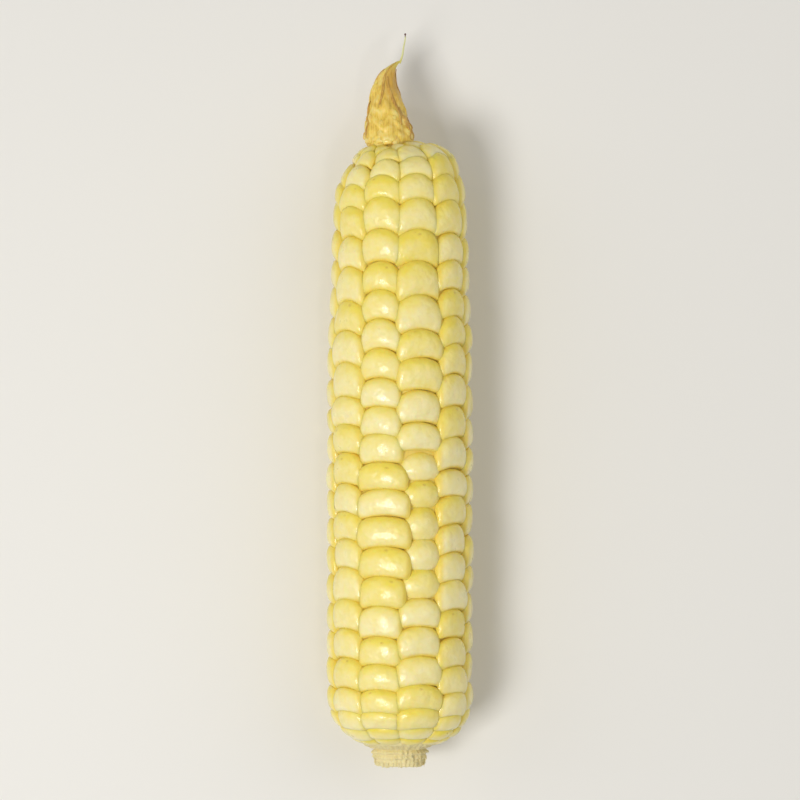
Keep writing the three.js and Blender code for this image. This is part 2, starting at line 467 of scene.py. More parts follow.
@dataclass(frozen=True)
class SnappedStalk(Finish):
    """Fresh corn stalk, snapped across: spongy cream pith with darker vessels, in a straw rind."""

    name: str = "snapped_corn_stalk"
    pith: str = "FAE7AC"
    rind: str = "EFE8B2"
    vessel: str = "DCC488"
    vessel_spacing: float = 0.95 * MM
    fibre: float = 0.35 * MM  # real ones are about 0.1 mm, which wouldn't show
    fibre_length: float = 3.5 * MM
    fibre_depth: float = 0.12 * MM
    rind_width: float = 0.7 * MM
    radius: float = 5.2 * MM
    glow_depth: float = 0.8 * MM
    axis: tuple[float, float] = (0.0, 0.0)

    def look(self, add: Callable[..., bpy.types.Node]) -> dict[str, object]:
        """Draws rind or pith by the distance from the stalk's axis.

        Args:
            add: Adds a node to the material's tree.

        Returns:
            What each input of the shader gets.
        """
        place = add("ShaderNodeTexCoord").outputs["Object"]
        centred = add("ShaderNodeMapping", {"Vector": place, "Location": (-self.axis[0], 0.0, -self.axis[1])})
        flat = add("ShaderNodeVectorMath", [centred, (1.0, 0.0, 1.0)], operation="MULTIPLY")
        distance = add("ShaderNodeVectorMath", [flat], operation="LENGTH")
        rind_start = self.radius - self.rind_width
        in_rind = add("ShaderNodeMapRange", [distance, rind_start, self.radius, 0.0, 1.0], **EASED)
        bundles = add("ShaderNodeTexVoronoi", {"Vector": flat, "Scale": 1 / self.vessel_spacing})
        vessel = add("ShaderNodeMapRange", [bundles, 0.3, 0.16, 0.0, 0.75], **EASED)
        scale = (1 / self.fibre, 1 / self.fibre_length, 1 / self.fibre)
        drawn = add("ShaderNodeMapping", {"Vector": place, "Scale": scale})
        fibres = add("ShaderNodeTexNoise", {"Vector": drawn, "Scale": 1.0, "Detail": 4.0})
        speckled = {SHARE: vessel, AT_0: srgb(self.pith), AT_1: srgb(self.vessel)}
        shaded = {SHARE: fibres, AT_0: srgb(self.rind), AT_1: srgb(self.vessel)}
        both = [add("ShaderNodeMix", feeds, **COLOURS) for feeds in (speckled, shaded)]
        raised = {"Height": fibres, "Distance": self.fibre_depth, "Strength": 0.8}
        return {
            "Base Color": add("ShaderNodeMix", {SHARE: in_rind, AT_0: both[0], AT_1: both[1]}, **COLOURS),
            "Roughness": 0.6,
            "Normal": add("ShaderNodeBump", raised),
            "IOR": 1.45,
            "Subsurface Weight": 0.25,
            "Subsurface Radius": (1.0, 0.8, 0.45),
            "Subsurface Scale": self.glow_depth,
        }


@dataclass(frozen=True)
class SilkFibre(Finish):
    """A dry silk: a pale green hair, dull and a little see-through, brown where its end died."""

    name: str = "dry_corn_silk"
    hair: str = "D9D896"
    base: str = "D8CB6C"
    dead: str = "5E3B32"
    patch: float = 0.6 * MM

    def look(self, add: Callable[..., bpy.types.Node]) -> dict[str, object]:
        """Draws the silk from the share of the strand's length that the mesh stores.

        Args:
            add: Adds a node to the material's tree.

        Returns:
            What each input of the shader gets.
        """
        share = add("ShaderNodeAttribute", attribute_name="share").outputs["Fac"]
        place = add("ShaderNodeTexCoord").outputs["Object"]
        uneven = add("ShaderNodeTexNoise", {"Vector": place, "Scale": 1 / self.patch, "Detail": 3.0})
        shifted = add("ShaderNodeMath", [uneven, 0.1, share], operation="MULTIPLY_ADD")
        colour = add("ShaderNodeValToRGB", [shifted])
        stops = colour.color_ramp.elements
        stops[0].position, stops[0].color = 0.1, srgb(self.base)
        stops[1].position, stops[1].color = 0.97, srgb(self.dead)
        for position in (0.3, 0.9):
            stops.new(position).color = srgb(self.hair)
        return {"Base Color": colour, "Roughness": 0.45, "IOR": 1.5}


@dataclass(frozen=True)
class PaintedBoard(Finish):
    """Matt painted board for the floor: pale and even, with the faintest tooth."""

    name: str = "matt_painted_board"
    colour: str = "E9E6DF"
    tooth: float = MM / 0.9  # a roller leaves a finer one, which wouldn't show
    tooth_depth: float = 0.02 * MM

    def look(self, add: Callable[..., bpy.types.Node]) -> dict[str, object]:
        """Draws the board.

        Args:
            add: Adds a node to the material's tree.

        Returns:
            What each input of the shader gets.
        """
        place = add("ShaderNodeTexCoord").outputs["Object"]
        tooth = add("ShaderNodeTexNoise", {"Vector": place, "Scale": 1 / self.tooth, "Detail": 2.0})
        relief = add("ShaderNodeBump", {"Height": tooth, "Distance": self.tooth_depth, "Strength": 0.3})
        return {"Base Color": srgb(self.colour), "Roughness": 0.7, "Normal": relief}


# ---------------------------------------------------------------- the ear's form


@dataclass
class EarForm:
    """The ear's outline over its kernels' crowns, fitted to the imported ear.

    A place on the ear is a distance along the crown line from the stalk, and an angle.
    """

    taper_start: float = 82 * MM
    taper_angle: float = math.radians(2.4)
    length: float = 129 * MM
    shoulder_length: float = 16.5 * MM
    shoulder_power: float = 2.9
    butt_length: float = 13 * MM
    butt_power: float = 2.6
    tip_length: float = 17.2 * MM
    tip_base: float = 5.2 * MM
    tip_offset: float = 2.3 * MM
    shift_start: float = 11.5 * MM
    skew: float = 1.9 * MM
    skew_length: float = 20 * MM
    line_steps: int = 4000
    low: Vector = field(default_factory=lambda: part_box("ear")[0])
    high: Vector = field(default_factory=lambda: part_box("ear")[1])

    def __post_init__(self) -> None:
        """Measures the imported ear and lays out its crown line."""
        self.radius = (self.high.x - self.low.x) / 2
        self.axis_x = (self.high.x + self.low.x) / 2
        self.axis_z = (self.high.z + self.low.z) / 2
        self.tip_base_y = self.high.y - self.tip_length
        cap = (1 - (self.tip_base / self.radius) ** self.shoulder_power) ** (1 / self.shoulder_power)
        self.foot = self.tip_base_y - self.length + self.shoulder_length * (1 - cap)
        turn = (1 - np.cos(np.linspace(0, math.pi, self.line_steps))) / 2
        self.line_y = self.low.y + (self.tip_base_y - self.low.y) * turn
        self.line_r = np.array([self.radius_at(y) for y in self.line_y])
        steps = np.hypot(np.diff(self.line_y), np.diff(self.line_r))
        self.line = np.concatenate([[0], np.cumsum(steps)])
        self.line_length = float(self.line[-1])

    def radius_at(self, y: float) -> float:
        """Works out the crown radius at a place along Y.

        Args:
            y: The place.

        Returns:
            The radius.
        """
        height = y - self.foot
        narrowing = math.tan(self.taper_angle) * max(0.0, height - self.taper_start)
        shoulder = (height - self.length + self.shoulder_length) / self.shoulder_length
        butt = (self.butt_length - height) / self.butt_length
        share = 1.0
        for depth, power in ((shoulder, self.shoulder_power), (butt, self.butt_power)):
            share *= (1 - min(1.0, max(0.0, depth)) ** power) ** (1 / power)
        return (self.radius - narrowing) * share

    def point(self, along: float, angle: float) -> Vector:
        """Finds a point on the ear's crowns.

        Args:
            along: Distance along the crown line.
            angle: About the axis.

        Returns:
            The point. The shoulder is squarer on the +X side and its top is centred on the tip.
        """
        radius = float(np.interp(along, self.line, self.line_r))
        y = float(np.interp(along, self.line, self.line_y))
        centre = self.axis_x
        if y > 0:
            centre -= self.tip_offset * ease((self.shift_start - radius) / (self.shift_start - self.tip_base))
            rise = ease((y - self.tip_base_y + self.skew_length) / self.skew_length)
            y += self.skew * math.sin(angle) * rise * radius / self.radius
        return Vector((centre + radius * math.sin(angle), y, self.axis_z + radius * math.cos(angle)))

    def frame(self, along: float, angle: float) -> tuple[Vector, Vector, Vector]:
        """Finds the surface's place and directions at a point.

        Args:
            along: Distance along the crown line.
            angle: About the axis.

        Returns:
            The point, the direction outwards and the direction towards the tip.
        """
        reach, turn = 0.4 * MM, 0.02
        tipward = self.point(along + reach, angle) - self.point(along - reach, angle)
        side = self.point(along, angle + turn) - self.point(along, angle - turn)
        return self.point(along, angle), side.cross(tipward).normalized(), tipward.normalized()


# ---------------------------------------------------------------- repeated pieces


@dataclass
class Seat:
    """Where one copy of a form sits, which way it faces and how big it is.

    The place is the middle of the form's outer face. Out is the form's Z, tipward is its Y, and
    the size is its width, length and depth.
    """

    place: Vector
    out: Vector
    tipward: Vector
    size: tuple[float, float, float]

    def turn(self) -> tuple[float, float, float]:
        """Works out the angles that turn the form to face its way.

        Returns:
            The angles about X, Y and Z.
        """
        out = self.out.normalized()
        side = self.tipward.cross(out).normalized()
        return tuple(Matrix((side, out.cross(side), out)).transposed().to_euler("XYZ"))


@dataclass(frozen=True)
class Variety:
    """How unlike each other the copies of a form are: in size, in tilt and by uneven swelling."""

    size: float
    tilt: float
    swelling: float
    swelling_width: float
    seed: int

    def swell(self, mesh: bpy.types.Mesh) -> None:
        """Swells and shrinks a mesh unevenly along its normals.

        Args:
            mesh: The mesh of all the copies.
        """
        rises = [
            self.swelling * (0.5 * noise.noise(vertex.co / self.swelling_width) - 0.15)
            for vertex in mesh.vertices
        ]
        moved = [vertex.co + vertex.normal * rise for vertex, rise in zip(mesh.vertices, rises)]
        mesh.vertices.foreach_set("co", [value for place in moved for value in place])
        mesh.update()


class ScatterTree:
    """A geometry tree that puts a form on each seat and varies its size, lean and tone.

    A seat is a vertex with a turn and a size. The form keeps its own stored values, and each
    copy gets a random tone.
    """

    def __init__(self) -> None:
        """Builds the tree once for all the repeated pieces."""
        self.tree = bpy.data.node_groups.new("scatter", "GeometryNodeTree")
        sockets = self.tree.interface
        sockets.new_socket("Geometry", in_out="OUTPUT", socket_type="NodeSocketGeometry")
        for name, kind in (
            ("Seats", "NodeSocketGeometry"),
            ("Form", "NodeSocketObject"),
            ("Skin", "NodeSocketMaterial"),
            ("Size spread", "NodeSocketFloat"),
            ("Tilt spread", "NodeSocketFloat"),
            ("Seed", "NodeSocketInt"),
        ):
            sockets.new_socket(name, in_out="INPUT", socket_type=kind)
        add = partial(add_node, self.tree)
        given = add("NodeGroupInput").outputs
        spread, tilt, seed = given["Size spread"], given["Tilt spread"], given["Seed"]
        vectors = {"data_type": "FLOAT_VECTOR"}
        form = add("GeometryNodeObjectInfo", {"Object": given["Form"]}).outputs["Geometry"]
        turn = add("GeometryNodeInputNamedAttribute", {"Name": "turn"}, **vectors)
        size = add("GeometryNodeInputNamedAttribute", {"Name": "size"}, **vectors)
        seated = {"Points": given["Seats"], "Instance": form, "Rotation": turn, "Scale": size}
        placed = add("GeometryNodeInstanceOnPoints", seated)
        lower = add("ShaderNodeMath", [1.0, spread], operation="SUBTRACT")
        upper = add("ShaderNodeMath", [1.0, spread], operation="ADD")
        growth = add("FunctionNodeRandomValue", {0: lower, 1: upper, "Seed": seed}, **vectors)
        grown = add("GeometryNodeScaleInstances", {"Instances": placed, "Scale": growth})
        against = add("ShaderNodeMath", [tilt, -1.0], operation="MULTIPLY")
        lean_seed = add("FunctionNodeIntegerMath", [seed, 1], operation="ADD")
        lean = add("FunctionNodeRandomValue", {0: against, 1: tilt, "Seed": lean_seed}, **vectors)
        tilted = add("GeometryNodeRotateInstances", {"Instances": grown, "Rotation": lean})
        tone_seed = add("FunctionNodeIntegerMath", [seed, 2], operation="ADD")
        tone = add("FunctionNodeRandomValue", {2: 0.0, 3: 1.0, "Seed": tone_seed}, data_type="FLOAT")
        stored = {"Geometry": tilted, "Name": "tone", "Value": tone}
        toned = add("GeometryNodeStoreNamedAttribute", stored, data_type="FLOAT", domain="INSTANCE")
        real = add("GeometryNodeRealizeInstances", {"Geometry": toned})
        skinned = add("GeometryNodeSetMaterial", {"Geometry": real, "Material": given["Skin"]})
        add("NodeGroupOutput", [skinned])

    def grow(
        self, name: str, seats: list[Seat], form: bpy.types.Object, variety: Variety, skin: bpy.types.Material
    ) -> bpy.types.Object:
        """Grows one piece from its seats, rounded by a live subdivision surface.

        Args:
            name: The piece's name.
            seats: Where each copy goes.
            form: The form to repeat, which is removed afterwards.
            variety: How the copies differ.
            skin: Their finish.

        Returns:
            The piece as a plain mesh.
        """
        seed_bed = mesh_object(name + "_seats", [seat.place for seat in seats], [])
        store(seed_bed.data, "turn", [seat.turn() for seat in seats], "FLOAT_VECTOR")
        store(seed_bed.data, "size", [seat.size for seat in seats], "FLOAT_VECTOR")
        modifier = seed_bed.modifiers.new("scatter", "NODES")
        modifier.node_group = self.tree
        values = {
            "Form": form,
            "Skin": skin,
            "Size spread": variety.size,
            "Tilt spread": variety.tilt,
            "Seed": variety.seed,
        }
        for item in self.tree.interface.items_tree:
            if item.name in values:
                modifier[item.identifier] = values[item.name]
        bpy.context.view_layer.update()
        graph = bpy.context.evaluated_depsgraph_get()
        grown = bpy.data.meshes.new_from_object(seed_bed.evaluated_get(graph))
        grown.polygons.foreach_set("use_smooth", [True] * len(grown.polygons))
        seed_bed.modifiers.remove(modifier)
        for spare in (seed_bed, form):
            bpy.data.objects.remove(spare)
        piece = bpy.data.objects.new(name, grown)
        bpy.context.scene.collection.objects.link(piece)
        variety.swell(grown)
        rounding = piece.modifiers.new("rounding", "SUBSURF")
        rounding.levels = rounding.render_levels = 1
        return piece


# ---------------------------------------------------------------- the kernels


@dataclass(frozen=True)
class KernelShape:
    """The crown of one kernel, in shares of its width, length and depth."""

    side_drop: float
    end_drop: float
    corner_rounding: float
    arch: float

    def point(self, u: float, v: float) -> tuple[float, float, float]:
        """Finds a point of the crown.

        Args:
            u: Across the row, from -1 to 1.
            v: Along the row, from -1 at the stalk's side to 1 at the tip's side.

        Returns:
            Its place in the unit kernel.
        """
        pull = 1 - self.corner_rounding * u * u * v * v
        x = 0.5 * u * pull
        y = 0.5 * v * pull + self.arch * (0.5 - u * u)
        drop = self.side_drop * (0.5 * u * u + 0.5 * abs(u) ** 4)
        drop += self.end_drop * (0.3 * v * v + 0.7 * abs(v) ** 4)
        return x, y, -drop


class Kernel(Enum):
    """The kinds of kernel: high-arched near the tip, pressed flat, or loose like a bead."""

    ARCHED = KernelShape(0.29, 0.16, 0.12, 0.26)
    PRESSED = KernelShape(0.28, 0.15, 0.12, 0.17)
    BEAD = KernelShape(0.5, 0.4, 0.3, 0.06)


@dataclass
class KernelRows:
    """Ten rows of kernels, packed all round the ear."""

    ear: EarForm
    rows: int = 10
    pitch: float = 6.1 * MM
    pitch_spread: float = 0.1
    tip_stretch: float = 0.06
    end_share: float = 0.55
    end_kernels: int = 4
    seam_wander: float = math.radians(2.0)
    seam_wave: float = 26 * MM
    squeeze: float = math.radians(6.5)
    squeeze_span: tuple[float, float] = (-8 * MM, -44 * MM)
    squeeze_power: float = 0.7
    bead_from: float = 0.45
    bead_growth: float = 1.06
    arched_from: float = 6 * MM
    inset: float = 0.57 * MM
    side_inset: float = 0.12 * MM
    depth: float = 5.6 * MM
    full_width: float = 9 * MM
    overlap: tuple[float, float] = (1.12, 1.19)
    butt_overlap: float = 0.16
    butt_reach: float = 9 * MM
    top_facets: tuple[int, int] = (5, 4)
    side_levels: tuple[float, ...] = (-0.6, -1.0)
    base_share: float = 0.66
    variety: Variety = Variety(0.03, math.radians(2.5), 1.0 * MM, 5 * MM, 11)

    def form(self, kind: Kernel) -> bpy.types.Object:
        """Makes one kernel, 1 wide, 1 long and 1 deep, with the middle of its crown at 0.

        Args:
            kind: Which kernel.

        Returns:
            A closed cage of a few dozen faces, for a subdivision surface to round.
        """
        wide, long = self.top_facets
        places = [(2 * i / wide - 1, 2 * j / long - 1, 0) for j in range(long + 1) for i in range(wide + 1)]
        points = [kind.value.point(u, v) for u, v, _ in places]
        crowns = [1 - max(abs(u), abs(v)) ** 2 for u, v, _ in places]
        row = wide + 1
        corners = [j * row + i for j in range(long) for i in range(wide)]
        faces = [(low, low + 1, low + row + 1, low + row) for low in corners]
        above = list(range(wide))
        above += [wide + j * row for j in range(long)]
        above += [long * row + wide - i for i in range(wide)]
        above += [(long - j) * row for j in range(long)]
        for level in self.side_levels:
            share = 1 + (self.base_share - 1) * (level / self.side_levels[-1]) ** 2
            below = list(range(len(points), len(points) + len(above)))
            for u, v, _ in [places[corner] for corner in above]:
                x, y, _ = kind.value.point(u, v)
                points.append((x * share, y * (1 + share) / 2, level))
                crowns.append(0.0)
                places.append((u, v, 0))
            for k in range(len(above)):
                after = (k + 1) % len(above)
                faces.append((above[after], above[k], below[k], below[after]))
            above = below
        faces.append(tuple(reversed(above)))
        made = mesh_object("kernel_form", points, faces)
        store(made.data, "crown", crowns)
        store(made.data, "local", places, "FLOAT_VECTOR")
        return made

    def squeezed(self, y: float) -> float:
        """Finds how far the row right of the top is squeezed.

        Args:
            y: The place along Y.

        Returns:
            From 0, not at all, to 1.
        """
        first, last = self.squeeze_span
        share = (y - first) / (last - first)
        return math.sin(math.pi * share) ** self.squeeze_power if 0 < share < 1 else 0.0

    def seam(self, row: int, along: float, y: float) -> float:
        """Finds the angle of the seam before a row, which wanders a little along the ear.

        Args:
            row: The row after the seam.
            along: The place on the crown line.
            y: The same place along Y.

        Returns:
            The angle.
        """
        angle = math.tau * row / self.rows
        angle += self.seam_wander * wobble(along, 3 + row % self.rows, self.seam_wave)
        return angle + (self.squeeze * self.squeezed(y) if row % self.rows == 0 else 0.0)

    def cells(self, row: int, rng: random.Random) -> list[tuple[float, float]]:
        """Splits a row into kernels.

        Args:
            row: The row's number.
            rng: The source of the kernels' uneven lengths.

        Returns:
            Where each kernel starts and ends along the crown line.
        """
        shrink = self.end_kernels * (1 - self.end_share)
        count = round(self.ear.line_length / self.pitch + shrink) + row % 2
        lengths = []
        for i in range(count):
            grown = min(1.0, min(i, count - 1 - i) / self.end_kernels)
            spread = 1 + self.pitch_spread * rng.uniform(-1, 1)
            stretch = 1 + self.tip_stretch * (2 * i / (count - 1) - 1)
            lengths.append((self.end_share + (1 - self.end_share) * grown) * spread * stretch)
        ends = np.concatenate([[0], np.cumsum(lengths)]) / sum(lengths) * self.ear.line_length
        return list(zip(ends[:-1], ends[1:]))

    def seats(self) -> dict[Kernel, list[Seat]]:
        """Works out every kernel's seat.

        Returns:
            The seats of each kind of kernel.
        """
        rng = random.Random(self.variety.seed)
        made = {kind: [] for kind in Kernel}
        for row in range(self.rows):
            for start, end in self.cells(row, rng):
                middle = (start + end) / 2
                y = self.ear.point(middle, 0.0).y
                left, right = self.seam(row, middle, y), self.seam(row + 1, middle, y)
                angle = (left + right) / 2
                place, out, tipward = self.ear.frame(middle, angle)
                width = (self.ear.point(middle, right) - self.ear.point(middle, left)).length
                length = (self.ear.point(end, angle) - self.ear.point(start, angle)).length
                depth = self.depth * min(1.0, width / self.full_width) ** 0.7
                kind = Kernel.ARCHED if y > self.arched_from else Kernel.PRESSED
                if row == 0 and self.squeezed(y) > self.bead_from:
                    kind = Kernel.BEAD
                crowded = 1 + self.butt_overlap * max(0.0, 1 - middle / self.butt_reach)
                crowded *= self.bead_growth if kind is Kernel.BEAD else 1.0
                size = (width * self.overlap[0] * crowded, length * self.overlap[1] * crowded, depth)
                inset = self.inset + (self.side_inset - self.inset) * math.sin(angle) ** 2
                made[kind].append(Seat(place - out * inset, out, tipward, size))
        return made

    def build(self, scatter: ScatterTree, skin: bpy.types.Material) -> None:
        """Builds all the kernels, one piece for each kind.

        Args:
            scatter: The tree that places them.
            skin: Their finish.
        """
        for kind, seats in self.seats().items():
            name = f"{kind.name.lower()}_kernels"
            piece = scatter.grow(name, seats, self.form(kind), self.variety, skin)
            finish_piece(piece, skin, "ear")


# ---------------------------------------------------------------- the cob and its bare tip


@dataclass(frozen=True)
class Fibre:
    """A dried fibre on the bare tip, from one share of the tip's length to another.

    It starts at an angle and drifts by another over its length, both in degrees.
    """

    first: float
    last: float
    angle: float
    drift: float
    wide: float


@dataclass
class Cob:
    """The cob that the kernels sit on, which runs on into the bare, withered tip.

    The bare tip is covered in the bumps of florets that never filled, in staggered columns. It
    has fibres and lumps, and one sharp fold down its side.
    """

    ear: EarForm
    bed: float = 2.6 * MM
    bed_end: float = 0.9 * MM
    bed_butt: float = 1.5 * MM
    bed_fade: float = 8 * MM
    bed_roughness: float = 0.3 * MM
    bed_grain: float = 1.5 * MM
    lean: float = 1.6 * MM
    hook: float = 3.8 * MM
    hook_power: float = 8
    point_radius: float = 0.35 * MM
    bulge_powers: tuple[float, float] = (1.6, 0.9)
    fibre_height: float = 0.07 * MM
    lump_height: float = 0.4 * MM
    bump_height: float = 0.42 * MM
    bump_columns: int = 6
    bump_pitch: float = 2.5 * MM
    bump_end: float = 0.72
    fold_angle: float = math.radians(58)
    fold_height: float = 0.4 * MM
    fold_width: float = 0.14
    crease_turn: float = 0.3
    crease_share: float = 0.6
    sides: int = 150
    bed_rings: int = 60
    tip_rings: int = 120
    floret: float = 2.5 * MM
    floret_columns: int = 10
    floret_sides: int = 8
    floret_rings: tuple[tuple[float, float], ...] = ((0.46, -0.6), (0.52, -0.1), (0.4, 0.26))
    floret_stretch: float = 1.15
    floret_end: float = 0.5
    floret_variety: Variety = Variety(0.15, math.radians(9), 0.35 * MM, 1.2 * MM, 23)
    floret_seed: int = 5
    nubbins: int = 15
    nubbin_widths: tuple[float, float] = (2.0 * MM, 3.0 * MM)
    nubbin_depth: float = 1.5 * MM
    nubbin_rise: float = 0.12 * MM
    nubbin_variety: Variety = Variety(0.08, math.radians(6), 0.5 * MM, 2 * MM, 77)
    nubbin_seed: int = 31
    fibres: tuple[Fibre, ...] = (
        Fibre(0.02, 0.42, 62, -12, 0.55 * MM),
        Fibre(0.0, 0.3, 78, 6, 0.4 * MM),
        Fibre(0.2, 0.8, 40, -26, 0.35 * MM),
        Fibre(0.45, 0.97, -20, 22, 0.3 * MM),
        Fibre(0.05, 0.5, -70, 10, 0.4 * MM),
        Fibre(0.1, 0.55, 165, 12, 0.5 * MM),
        Fibre(0.3, 0.9, 120, -20, 0.35 * MM),
        Fibre(0.35, 0.9, -125, 18, 0.35 * MM),
    )
    fibre_steps: int = 28
    fibre_thick: float = 0.16 * MM
    fibre_seed: int = 8

    def tip_centre(self, share: float) -> float:
        """Where the bare tip's middle lies across the ear, at a share of its length."""
        return self.ear.axis_x - self.ear.tip_offset - self.lean * share + self.hook * share**self.hook_power

    def tip_radius(self, share: float) -> float:
        """The bare tip's radius at a share of its length."""
        bulge = (1 - max(0.0, share) ** self.bulge_powers[0]) ** self.bulge_powers[1]
        return self.point_radius + (self.ear.tip_base - self.point_radius) * bulge

    def bump(self, share: float, angle: float) -> float:
        """Finds how far the florets raise the bare tip at a point.

        Args:
            share: Share of the tip's length, from its base.
            angle: About its middle.

        Returns:
            The rise, a little below 0 between the florets.
        """
        around = outward(angle)
        warp = noise.noise(around * 1.7 + Vector((0, share * 6, 0)))
        drift = noise.noise(around * 2.1 + Vector((7, share * 5, 0)))
        across = math.cos(self.bump_columns * angle + 1.1 * warp)
        along = math.cos(math.tau * (share * self.ear.tip_length / self.bump_pitch + 0.5 * drift))
        size = 0.6 + 0.8 * noise.noise(around * 3.3 + Vector((3, share * 9, 5)))
        rise = across * along
        rise = rise**0.7 if rise > 0 else -0.35 * abs(rise)
        return self.bump_height * max(0.2, size) * rise * max(0.0, 1 - share / self.bump_end)

    def tip_surface(self, share: float, angle: float) -> Vector:
        """Finds a point on the bare tip.

        Args:
            share: Share of the tip's length, from its base.
            angle: About its middle.

        Returns:
            The place, with the bumps, fibres, lumps and fold.
        """
        radius = self.tip_radius(share)
        fade = min(1.0, radius / self.ear.tip_base * 1.5)
        around = outward(angle)
        fibre = self.fibre_height * noise.noise(Vector((around.x * 12, share * 3, around.z * 12)))
        lump = self.lump_height * (noise.noise(Vector((around.x * 2.4, share * 7, around.z * 2.4))) - 0.35)
        turn = (angle - self.fold_angle + math.pi) % math.tau - math.pi
        fold = math.exp(-((turn / self.fold_width) ** 2)) * max(0.0, 1 - share * 2.2)
        crease = math.exp(-(((turn + self.crease_turn) / self.fold_width) ** 2)) * max(0.0, 1 - share * 2)
        folded = self.fold_height * (fold - self.crease_share * crease)
        radius += fade * (fibre + lump + folded) + self.bump(share, angle)
        y = self.ear.tip_base_y + share * self.ear.tip_length
        return Vector((self.tip_centre(share), y, self.ear.axis_z)) + around * radius

    def tip_frame(self, share: float, angle: float) -> tuple[Vector, Vector, Vector]:
        """Finds the bare tip's place and directions at a point.

        Args:
            share: Share of the tip's length, from its base.
            angle: About its middle.

        Returns:
            The point, the direction outwards and the direction towards the tip's end.
        """
        reach, turn = 0.03, 0.05
        place = self.tip_surface(share, angle)
        tipward = self.tip_surface(min(1.0, share + reach), angle) - self.tip_surface(share - reach, angle)
        side = self.tip_surface(share, angle + turn) - self.tip_surface(share, angle - turn)
        return place, side.cross(tipward).normalized(), tipward.normalized()

    def build(self, skin: bpy.types.Material) -> None:
        """Builds the cob as one closed skin, from the stalk to the end of the tip.

        Args:
            skin: Its finish.
        """
        points, shares, reliefs = [], [], []
        turns = full_turn(self.sides)
        for ring in range(self.bed_rings):
            along = (1 - math.cos(math.pi * ring / (self.bed_rings - 1))) / 2 * self.ear.line_length
            near_end = min(along, self.ear.line_length - along) / self.bed_fade
            least = self.bed_butt if along < self.ear.line_length / 2 else self.bed_end
            sunk = least + (self.bed - least) * min(1.0, near_end)
            for angle in turns:
                place, out, _ = self.ear.frame(along, angle)
                points.append(place - out * (sunk + self.bed_roughness * noise.noise(place / self.bed_grain)))
            shares.extend([-1.0] * self.sides)
            reliefs.extend([0.0] * self.sides)
        for ring in range(1, self.tip_rings + 1):
            share = math.sin(math.pi / 2 * ring / self.tip_rings)
            points.extend(self.tip_surface(share, angle) for angle in turns)
            # The relief, which the finish paints lighter where raised and darker in the hollows: painted
            # light and shade.
            reliefs.extend(self.bump(share, angle) / self.bump_height for angle in turns)
            shares.extend([share] * self.sides)
        rings = self.bed_rings + self.tip_rings
        piece = mesh_object("cob", points, ring_faces(rings, self.sides))
        store(piece.data, "share", shares)
        store(piece.data, "relief", reliefs)
        # The side, from which the finish paints the upper +X flank of the bare tip browner: painted shade.
        store(piece.data, "side", [math.sin(angle) for angle in turns] * rings)
        finish_piece(piece, skin, "ear")

    def floret_form(self) -> bpy.types.Object:
        """Makes one withered floret.

        Returns:
            A low bead, 1 wide and 1 long, with its middle at 0.
        """
        points = [
            (reach * math.cos(angle), self.floret_stretch * reach * math.sin(angle), level)
            for reach, level in self.floret_rings
            for angle in full_turn(self.floret_sides)
        ]
        return mesh_object("floret_form", points, ring_faces(len(self.floret_rings), self.floret_sides))

    def floret_seats(self) -> list[Seat]:
        """Puts florets up the bare tip, fewer and lower towards its end.

        Returns:
            Their seats.
        """
        rng = random.Random(self.floret_seed)
        made = []
        share = 0.01
        while share < self.floret_end:
            pitch = math.tau * self.tip_radius(share) / self.floret_columns
            for k in range(self.floret_columns):
                angle = math.tau * (k + 0.5 + rng.uniform(-0.16, 0.16)) / self.floret_columns
                stagger = (k % 2) * pitch * 0.4 / self.ear.tip_length
                here = share + stagger + rng.uniform(-0.01, 0.01)
                size = min(self.floret, pitch * 0.8) * rng.uniform(0.45, 0.8)
                high = size * 0.5 * (1 - 0.7 * share)
                if rng.random() >= 0.35 + share:
                    place, out, tipward = self.tip_frame(here, angle)
                    made.append(Seat(place, out, tipward, (size, size, high)))
            share += min(self.floret, pitch * 0.75) / self.ear.tip_length
        return made

    def build_florets(self, scatter: ScatterTree, skin: bpy.types.Material) -> None:
        """Builds the florets that never filled, as one piece.

        Args:
            scatter: The tree that places them.
            skin: Their finish.
        """
        seats = self.floret_seats()
        piece = scatter.grow("tip_florets", seats, self.floret_form(), self.floret_variety, skin)
        finish_piece(piece, skin, "ear")

    def build_nubbins(self, scatter: ScatterTree, form: bpy.types.Object, skin: bpy.types.Material) -> None:
        """Builds the dwarfed kernels in the crease round the bare tip's base, as one piece.

        Args:
            scatter: The tree that places them.
            form: One loose kernel.
            skin: Their finish.
        """
        rng = random.Random(self.nubbin_seed)
        seats = []
        for k in range(self.nubbins):
            angle = math.tau * (k + rng.uniform(-0.25, 0.25)) / self.nubbins
            place, out, tipward = self.tip_frame(rng.uniform(0.0, 0.05), angle)
            wide = rng.uniform(*self.nubbin_widths)
            out = (out + tipward * rng.uniform(0.2, 0.5)).normalized()
            size = (wide, wide * 0.8, self.nubbin_depth)
            seats.append(Seat(place + out * self.nubbin_rise, out, tipward, size))
        piece = scatter.grow("dwarfed_kernels", seats, form, self.nubbin_variety, skin)
        finish_piece(piece, skin, "ear")

